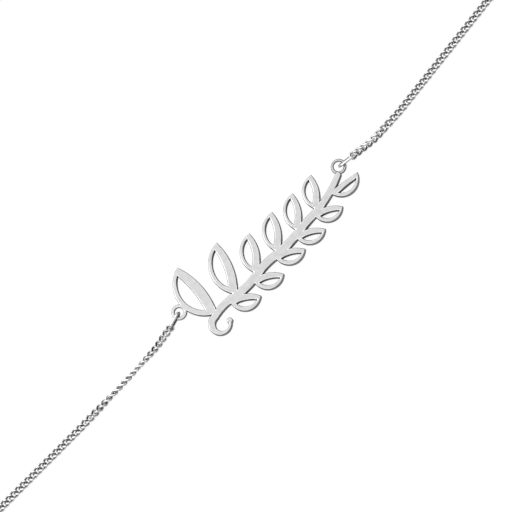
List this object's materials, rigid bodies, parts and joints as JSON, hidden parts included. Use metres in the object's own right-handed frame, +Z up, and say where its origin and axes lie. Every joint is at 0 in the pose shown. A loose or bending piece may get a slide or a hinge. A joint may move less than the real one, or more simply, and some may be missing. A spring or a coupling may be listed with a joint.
{
  "type": "nameplate bracelet",
  "caption": "Fine curb chain bracelet with a pierced leaf sprig plate held by eyelets and oval jump rings, closed by a clasp.",
  "frame": {"origin": "middle of the bracelet's bounding box, on the surface that it lies on", "axes": "+X along the plate from its curled end to its other eyelet, +Z up from the surface, +Y towards the clasp"},
  "size_m": [0.0868, 0.0485, 0.0012],
  "materials": {
    "satin_silver": "satin, with a polished rim",
    "bright_silver": "polished"
  },
  "bodies": {
    "root": {"nameplate": "satin_silver", "ring_left": "bright_silver", "ring_right": "bright_silver", "chain_left": "bright_silver", "chain_right": "bright_silver", "clasp": "bright_silver", "ring_clasp": "bright_silver", "ring_catch": "bright_silver"}
  },
  "joints": []
}
